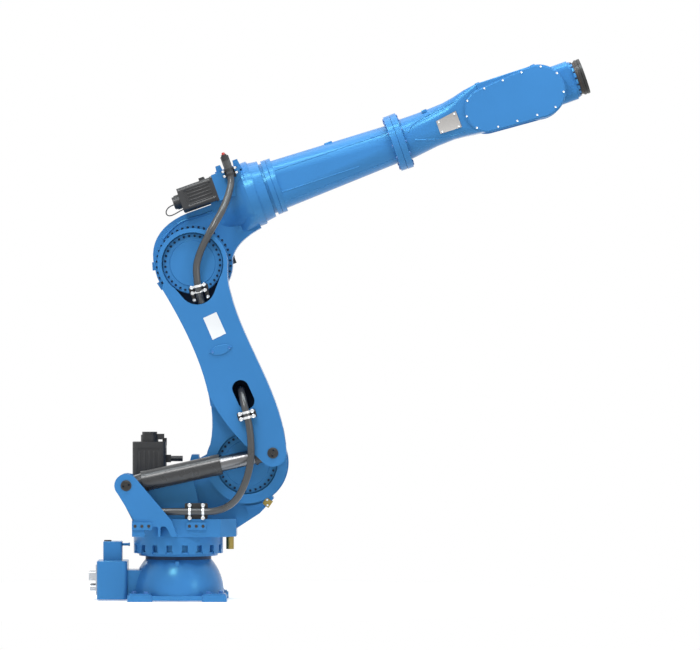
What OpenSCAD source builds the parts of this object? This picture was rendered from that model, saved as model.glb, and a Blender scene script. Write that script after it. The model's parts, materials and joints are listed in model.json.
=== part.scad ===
// Six-axis floor-standing robot arm with a gas-spring balancer.
// Millimetres. X points forward, Y to the far side, Z up. Origin: swivel axis on the floor.

/* [Reach] */
// Shoulder axis ahead of the swivel axis
shoulder_x = 367; // [350:1:385]
// Shoulder axis above the floor
shoulder_z = 729; // [715:1:760]
// Shoulder axis to elbow axis
arm_len = 1097; // [1000:1:1250]
// Backward lean of the lower arm at rest
arm_lean = 15; // [10:0.5:20]
// Elbow axis to forearm axis
forearm_lift = 246; // [238:1:256]
// Elbow axis to wrist axis along the forearm
forearm_len = 2033; // [1850:1:2300]
// Upward tilt of the forearm at rest
forearm_tilt = 19.6; // [12:0.1:30]

/* [Base] */
// Half width of the foot across its pads
foot_half = 263; // [255:1:300]
// Width of one foot pad
pad_w = 132; // [120:1:150]
// Height of the foot pads
pad_h = 43; // [35:1:50]
// Thickness of the foot plate between the pads
foot_t = 25; // [15:1:30]
// Diameter of the holding-down bolt holes
foot_hole_d = 22; // [16:0.5:27]
// Long side of each bolt rectangle
bolt_long = 460; // [450:1:480]
// Short side of each bolt rectangle
bolt_short = 330; // [310:1:345]
// Radius of the bell at its foot
bell_r = 244; // [230:1:246]
// Radius of the bearing ring under the turntable
bearing_r = 175; // [160:1:185]
// Top of the base bell
bell_top = 218; // [205:1:222]
// Height of the rear connector box
box_h = 204; // [180:1:215]
// Depth of the rear connector box, front to back
box_d = 162; // [130:1:190]
// Width of the rear connector box
box_w = 260; // [220:1:300]
// Height of the block on top of the connector box
block_h = 102; // [95:1:115]

/* [Column] */
// Radius of the turntable ring
table_r = 238; // [230:1:245]
// Number of pockets around the turntable ring
pockets = 18; // [12:1:24]
// Width of a turntable pocket
pocket_w = 30; // [20:1:40]
// Underside of the column skirt
skirt_z = 342; // [335:1:348]
// Height of the column skirt
skirt_h = 95; // [85:1:100]
// Radius of the shoulder drum
shoulder_r = 220; // [210:1:224]
// Square size of the swivel and shoulder motors
motor_w = 178; // [150:1:186]
// Height of the swivel motor body
motor_h = 340; // [280:1:380]

/* [Arm] */
// Front face of the lower arm and of the near balancer ears
arm_front = -300; // [-312:1:-294]
// Back face of the lower arm
arm_back = -60; // [-63:1:-57]
// Radius of the lower arm around the shoulder
arm_ring_r = 212; // [204:1:216]
// Radius of the lower arm around the elbow
arm_top_r = 185; // [180:1:195]
// Radius of the bolted hub covers
cover_r = 158; // [145:1:160]
// Thickness of the near balancer ears
ear_t = 38; // [32:1:40]

/* [Balancer] */
// Outer radius of the balancer barrel
barrel_r = 56; // [54:0.5:58]
// Wall of the balancer barrel
barrel_wall = 6; // [4:0.5:7]
// Length of the balancer barrel
barrel_len = 424; // [380:1:440]
// Radius of the balancer rod
rod_r = 40; // [30:0.5:41]
// Radius of the balancer pins
pin_r = 29; // [24:0.5:32]

/* [Forearm] */
// Radius of the forearm drive housing
housing_r = 176; // [168:1:180]
// Radius of the rings behind the forearm tube
ring_r = 150; // [146:1:156]
// Radius of the forearm tube at its back end
tube_r1 = 132; // [122:1:134]
// Radius of the forearm tube at its front end
tube_r2 = 105; // [98:1:112]
// Radius of the front flange pair
flange_r = 152; // [144:1:156]
// Half width of the wrist fork
fork_half = 135; // [130:1:142]
// Radius of the wrist fork's round end
fork_r = 143; // [136:1:148]
// Square size of the forearm drive motors
small_motor_w = 130; // [110:1:134]

/* [Wrist] */
// Radius of the tool flange
tool_r = 96; // [92:1:98]
// Wrist axis to tool flange face
tool_reach = 262; // [258:1:275]
// Bolt circle of the tool flange
tool_pcd = 160; // [146:1:164]
// Bolt hole diameter of the tool flange
tool_hole_d = 12; // [8:0.5:14]
// Radius of the tool flange centring bore
tool_bore_r = 50; // [40:1:60]

/* [Hoses] */
// Radius of the hoses
hose_r = 19; // [15:0.5:20]

/* [Hidden] */
$fn = 48;
run_gap = 0.3;
pin_gap = 0.05;
move_gap = 5;
// axes
elbow_x = shoulder_x - arm_len*sin(arm_lean);
elbow_z = shoulder_z + arm_len*cos(arm_lean);
pin_a = [-267, 616];
pin_b_arm = [150.4, 20.6];
function on_arm(b, a, y) = [shoulder_x + b*cos(arm_lean) - a*sin(arm_lean), y,
    shoulder_z + b*sin(arm_lean) + a*cos(arm_lean)];
function on_forearm(u, v, y) = [elbow_x + u*cos(forearm_tilt) - v*sin(forearm_tilt), y,
    elbow_z + u*sin(forearm_tilt) + v*cos(forearm_tilt)];
pin_b3 = on_arm(pin_b_arm[0], pin_b_arm[1], 0);
pin_b = [pin_b3[0], pin_b3[2]];
bal_len = norm(pin_b - pin_a);
bal_tilt = atan2(pin_b[1] - pin_a[1], pin_b[0] - pin_a[0]);
// depths, near side to far side
gap_front = arm_front + ear_t;
gap_back = -140;
bal_y = (gap_front + gap_back)/2;
eye_half = (gap_back - gap_front)/2 - move_gap;
ear_r = 62;
arm_ear_r = 72;
web_back = -95;
hub_y = arm_back + move_gap;
hub_r = 150;
drum_back = 120;
skirt_front = -table_r - 2;
recess_r = cover_r + 5;
shoulder_floor = -105;
elbow_floor = -255;
slot_floor = -205;
motor_x = -156;
motor_y = 82;
cover_t = 12;
// heights
bearing_top = bell_top + 18.7;
table_z = bearing_top + run_gap;
lip_h = 13;
skirt_top = skirt_z + skirt_h;
box_x = -foot_half - 5;
box_z = 6;
box_top = box_z + box_h;
block_top = box_top + block_h;
// stations along the forearm
elbow_r = 207;
housing_u0 = 392;
housing_u1 = 498;
ring_u0 = housing_u1 + run_gap;
ring_u1 = 514;
tube_u0 = 567;
fork_u0 = forearm_len - 756;
tube_u1 = fork_u0 - 69;
web_u = forearm_len - 305;
egg_u = forearm_len - 293;
slot_half = 70;
slot_depth = 240;
drive_v = forearm_lift + housing_r - 84;
mount_u0 = 245;
mount_u1 = housing_u0 + 6;
mount_half = small_motor_w + 12;
mount_v = drive_v + small_motor_w/2 + 7;

blue = [0.27, 0.53, 0.78];
dark = [0.27, 0.27, 0.27];
black = [0.08, 0.08, 0.08];
steel = [0.75, 0.76, 0.78];
brass = [0.52, 0.46, 0.25];
hose_grey = [0.37, 0.38, 0.38];

// A flat (x, z) shape as a slab from y0 to y1
module slab(y0, y1) {
    translate([0, y1, 0]) rotate([90, 0, 0]) linear_extrude(y1 - y0) children();
}

// A round bar along Y
module bar(x, z, r, y0, y1, fn = 64) {
    translate([x, y1, z]) rotate([90, 0, 0]) cylinder(h = y1 - y0, r = r, $fn = fn);
}

// A round bar along the forearm axis
module shaft(u0, u1, r1, r2, fn = 72) {
    translate([u0, 0, forearm_lift]) rotate([0, 90, 0]) cylinder(h = u1 - u0, r1 = r1, r2 = r2,
        $fn = fn);
}

module box(x0, x1, y0, y1, z0, z1) {
    translate([x0, y0, z0]) cube([x1 - x0, y1 - y0, z1 - z0]);
}

// A square with round corners, centred
module round_square(w, h, r) {
    hull() for (x = [-1, 1]) for (y = [-1, 1]) translate([x*(w/2 - r), y*(h/2 - r)])
        circle(r = r, $fn = 32);
}

// A square with cut corners, centred
module cut_square(w, c) {
    h = w/2;
    polygon([[h - c, -h], [h, c - h], [h, h - c], [h - c, h], [c - h, h], [-h, h - c], [-h, c - h],
        [c - h, -h]]);
}

module arm_frame() {
    translate([shoulder_x, 0, shoulder_z]) rotate([0, -arm_lean, 0]) children();
}

module forearm_frame() {
    translate([elbow_x, 0, elbow_z]) rotate([0, -forearm_tilt, 0]) children();
}

module balancer_frame() {
    translate([pin_a[0], bal_y, pin_a[1]]) rotate([0, -bal_tilt, 0]) children();
}

// Points of a curve with two end points and two pulls
function curve(p, n = 12) = [for (i = [0 : n]) let (t = i/n, s = 1 - t)
    s*s*s*p[0] + 3*s*s*t*p[1] + 3*s*t*t*p[2] + t*t*t*p[3]];

// A closed skin over a list of rings that have the same number of points
module skin(rings) {
    m = len(rings);
    n = len(rings[0]);
    sides = [for (i = [0 : m - 2]) for (k = [0 : n - 1]) let (j = (k + 1) % n)
        each [[i*n + k, (i + 1)*n + k, (i + 1)*n + j], [i*n + k, (i + 1)*n + j, i*n + j]]];
    ends = [[for (k = [0 : n - 1]) k], [for (k = [n - 1 : -1 : 0]) (m - 1)*n + k]];
    polyhedron(points = [for (r = rings) each r], faces = concat(sides, ends), convexity = 6);
}

// A tube along a list of points
function unit(v) = v / norm(v);
function tangent(p, i) = unit(p[min(i + 1, len(p) - 1)] - p[max(i - 1, 0)]);
function ring_at(p, i, r, n) = let (t = tangent(p, i), a = unit(cross(t, [0.2, 1, 0.1])),
    b = cross(t, a))
    [for (k = [0 : n - 1]) p[i] + r*cos(360*k/n)*a + r*sin(360*k/n)*b];
module tube(p, r, n = 12) {
    skin([for (i = [0 : len(p) - 1]) ring_at(p, i, r, n)]);
}

// A ring across the forearm: half width, reach above and below the axis, corner radius
function section(u, w, top, low, r, n = 9) = [for (q = [0 : 3]) for (i = [0 : n])
    let (a = 90*q + 90*i/n, y = q % 3 == 0 ? 1 : -1, z = q < 2 ? 1 : -1, h = (top + low)/2)
    [u, y*(w - r) + r*cos(a), forearm_lift + (top - low)/2 + z*(h - r) + r*sin(a)]];

module base_casting() {
    c = foot_half - pad_w/2;
    color(blue) difference() {
        union() {
            for (x = [-1, 1]) for (y = [-1, 1]) translate([x*c, y*c, 0]) {
                linear_extrude(pad_h - 8) cut_square(pad_w, 12);
                linear_extrude(pad_h) cut_square(pad_w - 14, 10);
            }
            box(-foot_half + 12, foot_half - 12, -foot_half + 12, foot_half - 12, box_z,
                box_z + foot_t);
            cylinder(h = pad_h, r = bearing_r - 30, $fn = 72);
            rotate_extrude($fn = 96) polygon(concat([[0, box_z + foot_t - 1],
                [bell_r, box_z + foot_t - 1]],
                curve([[bell_r, pad_h], [bell_r - 6, pad_h + 65], [bell_r - 22, bell_top - 55],
                    [bearing_r, bell_top]], 8),
                [[0, bell_top]]));
            box(box_x, -bearing_r + 30, -box_w/2 + 40, box_w/2 - 40, box_z + foot_t - 1, box_top - 49);
            translate([0, -bearing_r - 14, bell_top - 40]) cylinder(h = 34, r = 12, $fn = 32);
        }
        for (x = [-1, 1]) for (y = [-1, 1]) {
            translate([x*bolt_long/2, y*bolt_short/2, -1]) cylinder(h = pad_h + 2, d = foot_hole_d,
                $fn = 32);
            translate([x*bolt_short/2, y*bolt_long/2, -1]) cylinder(h = pad_h + 2, d = foot_hole_d,
                $fn = 32);
        }
    }
}

module bearing_ring() {
    color(black) translate([0, 0, bell_top]) cylinder(h = bearing_top - bell_top, r = bearing_r,
        $fn = 96);
}

module connector_box() {
    color(blue) union() {
        translate([box_x - box_d/2, 0, box_z]) linear_extrude(box_h) round_square(box_d, box_w, 22);
        translate([box_x - box_d/2 + 1, 0, box_top - 1]) linear_extrude(block_h + 1)
            round_square(100, box_w/2, 10);
    }
}

module connector_panel() {
    x = box_x - box_d;
    w = box_w - 50;
    color(steel) union() {
        box(x - 6, x, -w/2, w/2, 30, box_top - 20);
        for (y = [-48, 48]) translate([x - 5, y, 130]) rotate([0, -90, 0]) linear_extrude(38)
            round_square(46, 78, 8);
        for (y = [-64, 0, 64]) translate([x - 5, y, 68]) rotate([0, -90, 0])
            cylinder(h = 34, r = 17, $fn = 40);
    }
}

module box_cap() {
    color(black) translate([box_x - box_d/2 - 27, 0, block_top]) cylinder(h = 6, r = 20, $fn = 48);
}

module stop_knob() {
    color(blue) translate([box_x - box_d/2 + 51, 0, 295]) rotate([0, 90, 0]) {
        cylinder(h = 34, r = 7, $fn = 32);
        translate([0, 0, 32]) cylinder(h = 8, r = 9, $fn = 32);
    }
}

module turntable_ring() {
    z0 = table_z + lip_h;
    color(blue) difference() {
        union() {
            translate([0, 0, table_z]) cylinder(h = lip_h + 1, r = table_r - 28, $fn = 96);
            translate([0, 0, z0]) cylinder(h = skirt_z - z0, r = table_r, $fn = 96);
        }
        for (i = [0 : pockets - 1]) rotate([0, 0, i*360/pockets]) {
            translate([table_r - 26, -pocket_w/2, z0 + 10]) cube([40, pocket_w, 37]);
            translate([table_r - 12, -pocket_w/2 - 5, z0 - 1]) cube([40, pocket_w + 10, 14]);
        }
    }
}

module near_ear_outline() {
    difference() {
        union() {
            polygon([[pin_a[0] - 45, pin_a[1] - 43], [pin_a[0] - 62, pin_a[1]],
                [pin_a[0] + 50, pin_a[1] + 38],
                [-26, skirt_top - 8], [3, skirt_z + 4], [-236, skirt_z + 4], [-236, skirt_top - 8],
                    [-223, skirt_top - 8]]);
            translate(pin_a) circle(r = ear_r, $fn = 72);
        }
        polygon([[-168, skirt_z], [-98, skirt_z], [-98, skirt_z + 52], [-110, skirt_z + 58],
            [-168, skirt_z + 58]]);
        polygon([[-86, skirt_z], [-26, skirt_z], [-52, skirt_z + 50], [-62, skirt_z + 58],
            [-78, skirt_z + 58],
            [-86, skirt_z + 50]]);
    }
}

// The web rises behind the balancer, as high as its axis
module far_ear_outline() {
    polygon(concat([[-240, skirt_top - 8], [pin_a[0] - 56, pin_a[1] - 27]],
        [for (i = [0 : 8]) pin_a + ear_r*[cos(200 - i*19), sin(200 - i*19)]],
        curve([[-200, 640], [-130, 640], [-20, 660], [62, 690]], 8),
        curve([[62, 690], [90, 640], [110, 540], [120, skirt_top - 8]], 8)));
}

module body_outline() {
    polygon(concat(curve([[-190, skirt_top - 1], [-60, 500], [40, 640], [72, shoulder_z + 45]]),
        [[109, shoulder_z + 45], [112, shoulder_z + 24], [shoulder_x - 190, shoulder_z + 60],
         [shoulder_x, shoulder_z + 60], [shoulder_x + 142, shoulder_z - 188],
             [shoulder_x + 67, shoulder_z - 267],
         [311, skirt_z + 40], [311, skirt_z + 30], [0, skirt_z + 30]]));
}

module stop_block_shape() {
    translate([shoulder_x + 108, hub_y, shoulder_z - 210]) rotate([0, 35, 0])
        translate([-21, 0, -21]) cube([42, 65, 42]);
}

module column_casting() {
    color(blue) difference() {
        union() {
            // skirt over the turntable
            translate([0, 0, skirt_z]) linear_extrude(skirt_h) hull() {
                circle(r = table_r, $fn = 96);
                translate([200, -150]) square([111, 300]);
                translate([-20, skirt_front]) square([250, 30]);
            }
            // body up to the shoulder drum
            slab(hub_y, motor_y - motor_w/2 - 8) body_outline();
            slab(hub_y, drum_back) intersection() {
                body_outline();
                translate([motor_x + motor_w/2 + 10, 0]) square(2000);
            }
            bar(shoulder_x, shoulder_z, shoulder_r, hub_y, drum_back, 128);
            bar(shoulder_x, shoulder_z, hub_r, arm_back + run_gap, hub_y + 1, 96);
            // boss that carries the stop block, clear of the turning arm
            difference() {
                translate([shoulder_x + 38, hub_y - 18, shoulder_z - 222]) rotate([0, -21, 0])
                    box(-46, 46, 0, 40, -30, 30);
                bar(shoulder_x, shoulder_z, shoulder_r + move_gap, hub_y - 19, hub_y, 128);
            }
            // web to the far balancer ear
            slab(gap_back, web_back) far_ear_outline();
            slab(gap_back, motor_y - motor_w/2 - 8) polygon(concat([[-200, skirt_top - 1]],
                curve([[-200, 520], [-60, 520], [40, 500], [120, skirt_top - 1]])));
            // near balancer ear on its shelf
            slab(arm_front, gap_front) near_ear_outline();
            box(-236, -30, gap_front - 1, web_back, skirt_z + 58, skirt_top);
            box(-98, -86, gap_front - 1, -200, skirt_z + 4, skirt_z + 59);
            // foot of the swivel motor
            translate([motor_x, motor_y, skirt_top - 1]) linear_extrude(50)
                round_square(motor_w + 16, motor_w + 16, 20);
        }
        bar(pin_a[0], pin_a[1], pin_r, arm_front - 1, web_back + 1, 72);
        stop_block_shape();
    }
}

// A servo motor standing on Z: body, end flange, encoder cap and plug
module servo(w, h, cap_r, cap_h) {
    linear_extrude(h - 10) round_square(w - 8, w - 8, w*0.16);
    for (x = [-1, 1]) for (y = [-1, 1]) translate([x*(w/2 - w*0.13), y*(w/2 - w*0.13), 10])
        cylinder(h = h - 34, r = w*0.13, $fn = 32);
    linear_extrude(14) round_square(w + 6, w + 6, w*0.08);
    translate([0, 0, h - 32]) linear_extrude(32) round_square(w, w, w*0.14);
    translate([0, 0, h - 1]) cylinder(h = cap_h*0.7 + 1, r = cap_r, $fn = 64);
    translate([0, 0, h - 1]) cylinder(h = cap_h + 1, r = cap_r*0.86, $fn = 64);
}

module swivel_motor() {
    color(dark) translate([motor_x, motor_y, skirt_top + 49]) union() {
        servo(motor_w, motor_h + 14, 47, 53);
        translate([0, -20, motor_h + 26]) cube([78, 40, 30]);
        translate([motor_w/2 - 8, -30, motor_h - 96]) cube([33, 60, 40]);
        translate([motor_w/2 + 24, -8, motor_h - 76]) rotate([0, 90, 0])
            cylinder(h = 64, r = 15, $fn = 40);
        translate([80, 0, motor_h - 6]) cylinder(h = 40, r = 12, $fn = 32);
    }
}

module shoulder_motor() {
    color(dark) translate([shoulder_x, drum_back, shoulder_z]) rotate([-90, 0, 0]) union() {
        cylinder(h = 30, r = motor_w/2 + 30, $fn = 72);
        translate([0, 0, 29]) servo(motor_w, 230, 47, 50);
        translate([-30, motor_w/2 - 8, 170]) cube([60, 41, 40]);
    }
}

module stop_pin() {
    color(brass) translate([275, 0, skirt_z - 72]) cylinder(h = 72, r = 20.5, $fn = 48);
}

module stop_block() {
    color(brass) stop_block_shape();
}

module hole_block(x, z, y) {
    difference() {
        translate([x, y, z]) rotate([90, 0, 0]) linear_extrude(12) round_square(106, 40, 8);
        for (i = [-1 : 1]) bar(x + i*36, z, 6, y - 13, y - 2, 32);
    }
}

module hole_blocks() {
    color(blue) union() {
        hole_block(-183, skirt_z + 60, arm_front);
        hole_block(102, skirt_z + 58, skirt_front);
    }
}

hose_y = -241;
hose_z = 477;
clamp_y = hose_y + hose_r + run_gap;
module column_clamp() {
    color(black) union() {
        translate([101, clamp_y + 14, skirt_top + 42]) rotate([90, 0, 0]) linear_extrude(14)
            round_square(122, 84, 8);
        box(66, 136, clamp_y + 13, -150, skirt_top, hose_z + 20);
    }
}

module hose_gland() {
    color(black) bar(-154, hose_z, hose_r + 9, gap_back - 10, gap_back, 48);
}

module rear_pin() {
    color(dark) bar(pin_a[0], pin_a[1], pin_r, arm_front - 5, web_back, 72);
}

module barrel() {
    color(dark) balancer_frame() difference() {
        union() {
            rotate([90, 0, 0]) translate([0, 0, -eye_half]) cylinder(h = 2*eye_half, r = ear_r - 8,
                $fn = 72);
            rotate([0, 90, 0]) cylinder(h = 90, r1 = 36, r2 = 46, $fn = 64);
            translate([86, 0, 0]) rotate([0, 90, 0]) cylinder(h = barrel_len, r = barrel_r - 2,
                $fn = 96);
            translate([86, 0, 0]) rotate([0, 90, 0]) cylinder(h = 22, r = barrel_r, $fn = 96);
            translate([86 + barrel_len - 46, 0, 0]) rotate([0, 90, 0])
                cylinder(h = 40, r = barrel_r, $fn = 96);
        }
        translate([116, 0, 0]) rotate([0, 90, 0]) cylinder(h = barrel_len,
            r = barrel_r - barrel_wall, $fn = 96);
        rotate([90, 0, 0]) translate([0, 0, -eye_half - 1]) cylinder(h = 2*eye_half + 2,
            r = pin_r + pin_gap, $fn = 72);
    }
}

module rod() {
    color(steel) balancer_frame() translate([bal_len - 463, 0, 0]) rotate([0, 90, 0])
        cylinder(h = 363, r = rod_r, $fn = 96);
}

module rod_end() {
    color(dark) balancer_frame() difference() {
        union() {
            translate([bal_len - 100, 0, 0]) rotate([0, 90, 0])
                cylinder(h = 14, r = rod_r + 6, $fn = 64);
            translate([bal_len - 87, 0, 0]) rotate([0, 90, 0])
                cylinder(h = 55, r1 = rod_r + 1, r2 = 36, $fn = 64);
            translate([bal_len - 40, 0, 0]) rotate([0, 90, 0]) cylinder(h = 40, r = 36, $fn = 64);
            translate([bal_len, 0, 0]) rotate([90, 0, 0]) translate([0, 0, -eye_half])
                cylinder(h = 2*eye_half, r = 52, $fn = 72);
        }
        translate([bal_len, 0, 0]) rotate([90, 0, 0]) translate([0, 0, -eye_half - 1])
            cylinder(h = 2*eye_half + 2, r = pin_r + pin_gap, $fn = 72);
    }
}

// Lower arm edges, as [offset, distance along the arm], from the elbow down or the shoulder up
arm_back_edge = curve([[-190, arm_len - 90], [-112, arm_len - 355], [-38, 380], [-165, 140]], 16);
arm_cut_edge = curve([[-98, 430], [-86, 300], [-20, 150], [95, -25]], 12);
arm_front_edge = concat(curve([[217, -8], [288, 300], [146, arm_len - 490], [153, arm_len - 200]], 16),
    curve([[153, arm_len - 190], [151, arm_len - 130], [168, arm_len - 95],
        [arm_top_r - 1, arm_len - 20]], 6));

module arm_outline_back() {
    union() {
        polygon(concat(arm_back_edge, [[-196, 80], [-100, 0], [100, 0]],
            arm_front_edge, [[140, arm_len], [-140, arm_len]]));
        circle(r = arm_ring_r, $fn = 128);
        translate([0, arm_len]) circle(r = arm_top_r, $fn = 128);
    }
}

module arm_outline_near() {
    union() {
        difference() {
            polygon(concat(arm_back_edge, [[60, -40]], arm_front_edge, [[140, arm_len],
                [-140, arm_len]]));
            polygon(concat([[-400, 430]], arm_cut_edge, [[95, -200], [-400, -200]]));
            polygon([[pin_b_arm[0], pin_b_arm[1]], [pin_b_arm[0], -200], [400, -200],
                [400, pin_b_arm[1]]]);
        }
        translate(pin_b_arm) circle(r = arm_ear_r, $fn = 96);
        translate([0, arm_len]) circle(r = arm_top_r, $fn = 128);
    }
}

// The space between the near ear and the ring is left open for the balancer
module arm_outline_middle() {
    difference() {
        union() {
            polygon(concat(arm_back_edge, [[0, 0]], arm_front_edge, [[140, arm_len], [-140, arm_len]]));
            translate([0, arm_len]) circle(r = arm_top_r, $fn = 128);
        }
        polygon([[-400, 600], [60, 205], [120, 155], [400, 125], [400, -300], [-400, -300]]);
    }
}

// A pocket below the elbow cover, deeper than the cover's seat
module arm_pocket_outline() {
    difference() {
        hull() {
            translate([0, arm_len - 30]) circle(r = recess_r - 18, $fn = 96);
            translate([-8, arm_len - 124]) circle(r = 96, $fn = 72);
        }
        translate([0, arm_len]) circle(r = recess_r - 2, $fn = 128);
    }
}

module hose_slot_outline() {
    hull() {
        translate([74, 394]) circle(r = 44, $fn = 64);
        translate([86, 322]) circle(r = 44, $fn = 64);
    }
}

module lower_arm() {
    color(blue) arm_frame() difference() {
        union() {
            difference() {
                slab(gap_back, arm_back) arm_outline_back();
                bar(0, 0, recess_r, gap_back - 1, shoulder_floor, 128);
            }
            slab(gap_front - 1, gap_back + 1) arm_outline_middle();
            slab(arm_front, gap_front) arm_outline_near();
            bar(pin_b_arm[0], pin_b_arm[1], 48, gap_back, shoulder_floor + 1, 64);
        }
        bar(0, arm_len, recess_r, arm_front - 1, elbow_floor, 128);
        slab(arm_front - 1, slot_floor) arm_pocket_outline();
        slab(arm_front - 1, slot_floor) hose_slot_outline();
        bar(pin_b_arm[0], pin_b_arm[1], pin_r, arm_front - 1, shoulder_floor, 72);
    }
}

module shoulder_cover() {
    color(blue) arm_frame() difference() {
        union() {
            bar(0, 0, cover_r, shoulder_floor - cover_t, shoulder_floor, 128);
            bar(0, 0, cover_r - 38, shoulder_floor - cover_t - 4, shoulder_floor - 1, 96);
        }
        bar(pin_b_arm[0], pin_b_arm[1], 50, shoulder_floor - cover_t - 5, shoulder_floor + 1, 64);
    }
}

module elbow_cover() {
    color(blue) arm_frame() union() {
        bar(0, arm_len, cover_r, elbow_floor - cover_t, elbow_floor, 128);
        bar(0, arm_len, cover_r - 38, elbow_floor - cover_t - 4, elbow_floor - 1, 96);
    }
}

module front_pin() {
    color(dark) arm_frame() bar(pin_b_arm[0], pin_b_arm[1], pin_r, arm_front - 5, shoulder_floor, 72);
}

module lens_plate() {
    color(blue) arm_frame() slab(arm_front - 6, arm_front) translate([27, 618]) intersection() {
        translate([0, -66]) circle(r = 92, $fn = 96);
        translate([0, 66]) circle(r = 92, $fn = 96);
    }
}

arm_hose_y = arm_front - 8 - run_gap - hose_r;
top_arm_y = arm_front - 22;
module arm_clamps() {
    color(black) arm_frame() union() {
        translate([70, arm_front, 250]) rotate([90, 0, 0]) linear_extrude(8) round_square(100, 42, 6);
        translate([-4, elbow_floor - cover_t, arm_len - 137]) rotate([90, 0, 0]) linear_extrude(6)
            round_square(104, 32, 6);
    }
}

module elbow_outline() {
    seat_v = drive_v - small_motor_w/2 - 8;
    polygon(concat(curve([[-204, 20], [-205, 170], [-110, 258], [60, seat_v]]),
        [[mount_u0, seat_v], [mount_u0, mount_v - 10], [housing_u0 + 10, mount_v - 10],
            [housing_u0 + 10, 62]],
        curve([[housing_u0 + 10, 60], [330, 50], [225, 20], [195, -60]]), [[60, -150]]));
}

module elbow_casting() {
    color(blue) forearm_frame() union() {
        bar(0, 0, elbow_r, hub_y, drum_back, 128);
        bar(0, 0, hub_r, arm_back + run_gap, hub_y + 1, 96);
        slab(hub_y, drum_back) elbow_outline();
        // neck that opens smoothly into the round drive housing
        skin([section(165, -hub_y - 1, 10, 262, 20), section(mount_u0 - 1, -hub_y, 14, 214, 40),
            section(305, -hub_y + 12, 130, 194, 60), section(355, -hub_y + 75, housing_r - 10, 184,
                112),
            section(housing_u0 + 20, housing_r - 2, housing_r - 2, housing_r - 2, housing_r - 8)]);
        shaft(housing_u0, housing_u1 - 58, housing_r, housing_r, 96);
        shaft(housing_u0 + 46, housing_u1 - 54, housing_r - 5, housing_r - 5, 96);
        shaft(housing_u1 - 56, housing_u1, housing_r - 12, housing_r - 20, 96);
        // mount of the drive motors
        box(mount_u0, mount_u1, -mount_half, mount_half, drive_v - small_motor_w/2 - 8, mount_v);
        box(mount_u0 + 25, mount_u1 - 20, -mount_half + 20, mount_half - 20, mount_v - 1, mount_v + 8);
        // lifting lugs
        for (u = [296, 392]) slab(-120, -80) polygon([[u - 22, mount_v - 20], [u - 14, mount_v + 36],
            [u + 12, mount_v + 36], [u + 20, mount_v - 20]]);
        // stop lugs
        for (a = [164, 194]) rotate([0, -a, 0]) box(elbow_r - 12, elbow_r + 14, hub_y + 20,
            hub_y + 70, -22, 22);
    }
}

module elbow_motor() {
    color(dark) forearm_frame() translate([0, drum_back, 0]) rotate([-90, 0, 0]) union() {
        cylinder(h = 26, r = small_motor_w/2 + 28, $fn = 72);
        translate([0, 0, 25]) servo(small_motor_w, 190, 38, 44);
        translate([small_motor_w/2 - 8, -6, 40]) cube([158, 40, 36]);
        translate([small_motor_w/2 + 128, 30, 46]) cube([20, 38, 24]);
    }
}

module drive_motors() {
    color(dark) forearm_frame() for (y = [-1, 1]) translate([mount_u0, y*(small_motor_w/2 + 7),
        drive_v])
        rotate([0, -90, 0]) union() {
            servo(small_motor_w, 199, 37, 40);
            translate([small_motor_w/2 - 8, -22, 40]) cube([23, 44, 30]);
        }
}

top_hose_u = 345;
top_hose_y = -mount_half - 18 - run_gap - hose_r;
module elbow_clamp() {
    color(black) forearm_frame() union() {
        translate([top_hose_u, -mount_half, drive_v + 48]) rotate([90, 0, 0]) linear_extrude(18)
            round_square(56, 56, 6);
        translate([top_hose_u, -mount_half, mount_v + 18]) rotate([90, 0, 0]) linear_extrude(18)
            round_square(44, 110, 6);
    }
}

module hose_end() {
    color(black) forearm_frame() translate([top_hose_u, top_hose_y, mount_v + 45]) union() {
        cylinder(h = 22, r = hose_r, $fn = 48);
        cylinder(h = 34, r = hose_r - 4, $fn = 48);
        translate([-14, 0, 2]) cube([28, hose_r, 18]);
    }
}

module rear_rings() {
    color(blue) forearm_frame() union() {
        shaft(ring_u0, ring_u1 + 1, ring_r - 12, ring_r - 12, 96);
        shaft(ring_u1, ring_u1 + 25, ring_r, ring_r, 96);
        shaft(ring_u1 + 24, ring_u1 + 28, ring_r - 4, ring_r - 4, 96);
        shaft(ring_u1 + 27, tube_u0, ring_r - 1, ring_r - 1, 96);
    }
}

// Squared at the back and round at the front
module forearm_tube() {
    n = 8;
    color(blue) forearm_frame() skin([for (i = [0 : n]) let (t = i/n,
        r = tube_r1 + (tube_r2 - tube_r1)*t,
        flat = 1 + 44*pow(1 - t, 1.5)) section(tube_u0 + (tube_u1 - tube_u0)*t, r, r, r, r - flat)]);
}

module front_flanges() {
    m = (tube_u1 + fork_u0)/2;
    color(blue) forearm_frame() union() {
        shaft(tube_u1, m - 1, flange_r - 1, flange_r - 1, 96);
        shaft(m - 2, m + 2, flange_r - 5, flange_r - 5, 96);
        shaft(m + 1, fork_u0, flange_r, flange_r, 96);
    }
}

// Round at the flange, squaring out to the width of the fork
module wrist_root() {
    d = web_u - fork_u0;
    color(blue) forearm_frame() skin([section(fork_u0, 112, 112, 110, 108),
        section(fork_u0 + 0.14*d, 110, 111, 102, 98),
        section(fork_u0 + 0.34*d, 110, 111, 91, 82), section(fork_u0 + 0.56*d, 116, 115, 87, 66),
        section(fork_u0 + 0.7*d, 124, 125, 92, 50), section(fork_u0 + 0.84*d, fork_half - 3, 140,
            100, 32),
        section(web_u, fork_half, fork_r + 7, 108, 12)]);
}

module wrist_fork() {
    z = forearm_lift;
    j5 = forearm_len;
    color(blue) forearm_frame() difference() {
        slab(-fork_half, fork_half) union() {
            polygon([[web_u, z - 108], [j5 - 60, z - fork_r + 16], [j5, z - fork_r + 1],
                [j5, z + fork_r - 1],
                [web_u, z + fork_r + 7]]);
            translate([j5, z]) circle(r = fork_r, $fn = 128);
        }
        box(j5 - slot_depth, j5 + 2*fork_r, -slot_half, slot_half, z - 2*fork_r, z + 2*fork_r);
    }
}

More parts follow.
